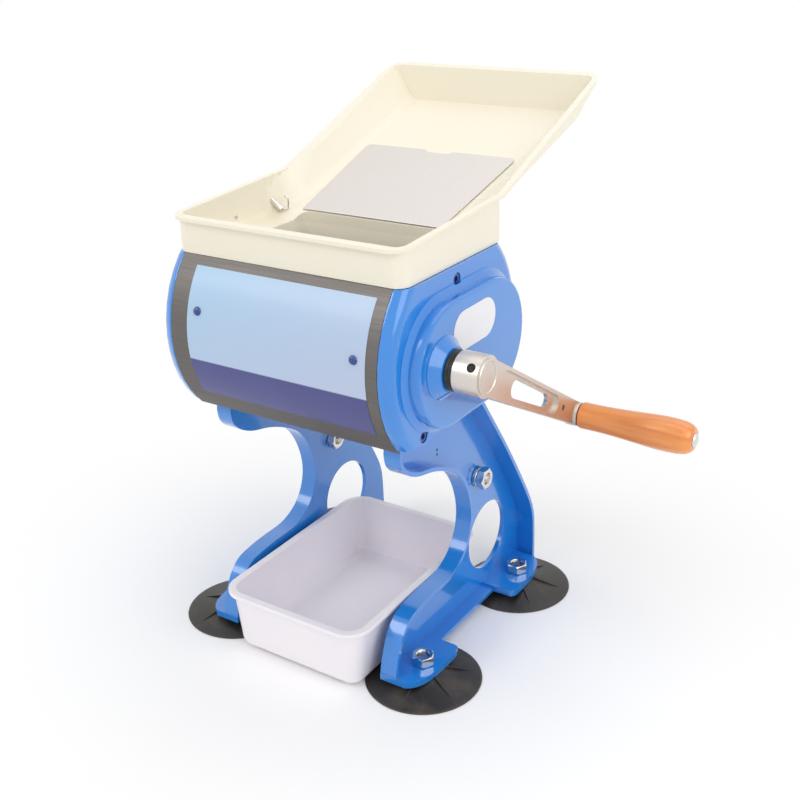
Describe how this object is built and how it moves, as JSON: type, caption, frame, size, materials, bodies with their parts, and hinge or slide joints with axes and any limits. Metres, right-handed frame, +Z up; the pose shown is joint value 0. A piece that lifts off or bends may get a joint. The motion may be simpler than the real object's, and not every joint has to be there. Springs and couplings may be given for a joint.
{
  "type": "hand-cranked jerky slicer",
  "caption": "Hand-cranked meat strip slicer: drum body with interleaved blade rollers, feed hopper and chute, cast legs on suction cups, crank with wooden grip, catch tub.",
  "frame": {"origin": "under the middle of the machine's overall box, on the surface it stands on", "axes": "+Z up, +X along the blade shafts towards the crank, +Y from the drum's front towards the raised end of the chute"},
  "size_m": [0.356, 0.303, 0.3916],
  "materials": {
    "blue_paint": "gloss",
    "navy_paint": "gloss",
    "cream_plastic": "satin",
    "steel": "brushed",
    "chrome": "polished",
    "bronze": "machined",
    "rubber": "matt",
    "white_plastic": "satin",
    "wood": "varnished"
  },
  "bodies": {
    "frame": {"right_side_frame": "blue_paint", "front_bush_right": "bronze", "rear_bush_right": "bronze", "cover_screw_upper_right": "navy_paint", "cover_screw_lower_right": "navy_paint", "frame_nut_outer_right": "chrome", "frame_nut_inner_right": "chrome", "frame_washer_right": "chrome", "frame_stud_right": "steel", "suction_cup_front_right": "rubber", "foot_stud_front_right": "steel", "foot_nut_front_right": "chrome", "suction_cup_rear_right": "rubber", "foot_stud_rear_right": "steel", "foot_nut_rear_right": "chrome", "left_side_frame": "blue_paint", "front_bush_left": "bronze", "rear_bush_left": "bronze", "cover_screw_upper_left": "navy_paint", "cover_screw_lower_left": "navy_paint", "frame_nut_outer_left": "chrome", "frame_nut_inner_left": "chrome", "frame_washer_left": "chrome", "frame_stud_left": "steel", "suction_cup_front_left": "rubber", "foot_stud_front_left": "steel", "foot_nut_front_left": "chrome", "suction_cup_rear_left": "rubber", "foot_stud_rear_left": "steel", "foot_nut_rear_left": "chrome", "gear_cover": "blue_paint", "left_cover": "blue_paint", "front_panel": "steel", "rear_panel": "steel", "hopper": "cream_plastic", "front_comb": "steel", "rear_comb": "steel", "shaft_seal": "rubber", "front_rivet_left": "navy_paint", "front_rivet_right": "navy_paint", "rear_rivet_left": "navy_paint", "rear_rivet_right": "navy_paint"},
    "crank": {"drive_shaft": "steel", "front_blades": "steel", "drive_gear": "steel", "crank_arm": "chrome", "grip_pin": "chrome"},
    "grip": {"grip": "wood"},
    "rear_roller": {"rear_shaft": "steel", "rear_blades": "steel", "driven_gear": "steel"},
    "tub": {"catch_tub": "white_plastic"},
    "plate": {"cover_plate": "steel"}
  },
  "joints": [
    {"name": "crank_spin", "type": "hinge", "parent": "frame", "child": "crank", "pos_m": [0.08045, -0.101, 0.245], "axis": [1, 0, 0], "continuous": true},
    {"name": "grip_spin", "type": "hinge", "parent": "crank", "child": "grip", "pos_m": [0.13045, 0.036, 0.1653], "axis": [1, 0, 0], "continuous": true},
    {"name": "rear_roller_spin", "type": "hinge", "parent": "frame", "child": "rear_roller", "pos_m": [-0.04955, -0.053, 0.245], "axis": [1, 0, 0], "continuous": true},
    {"name": "tub_slide", "type": "slide", "parent": "frame", "child": "tub", "axis": [0, -1, 0], "range_m": [0, 0.12]},
    {"name": "plate_slide", "type": "slide", "parent": "frame", "child": "plate", "axis": [0, 0.9569, 0.2904], "range_m": [0, 0.06]}
  ],
  "couplings": [
    {"joint": "rear_roller_spin", "follows": "crank_spin", "ratio": -1}
  ]
}
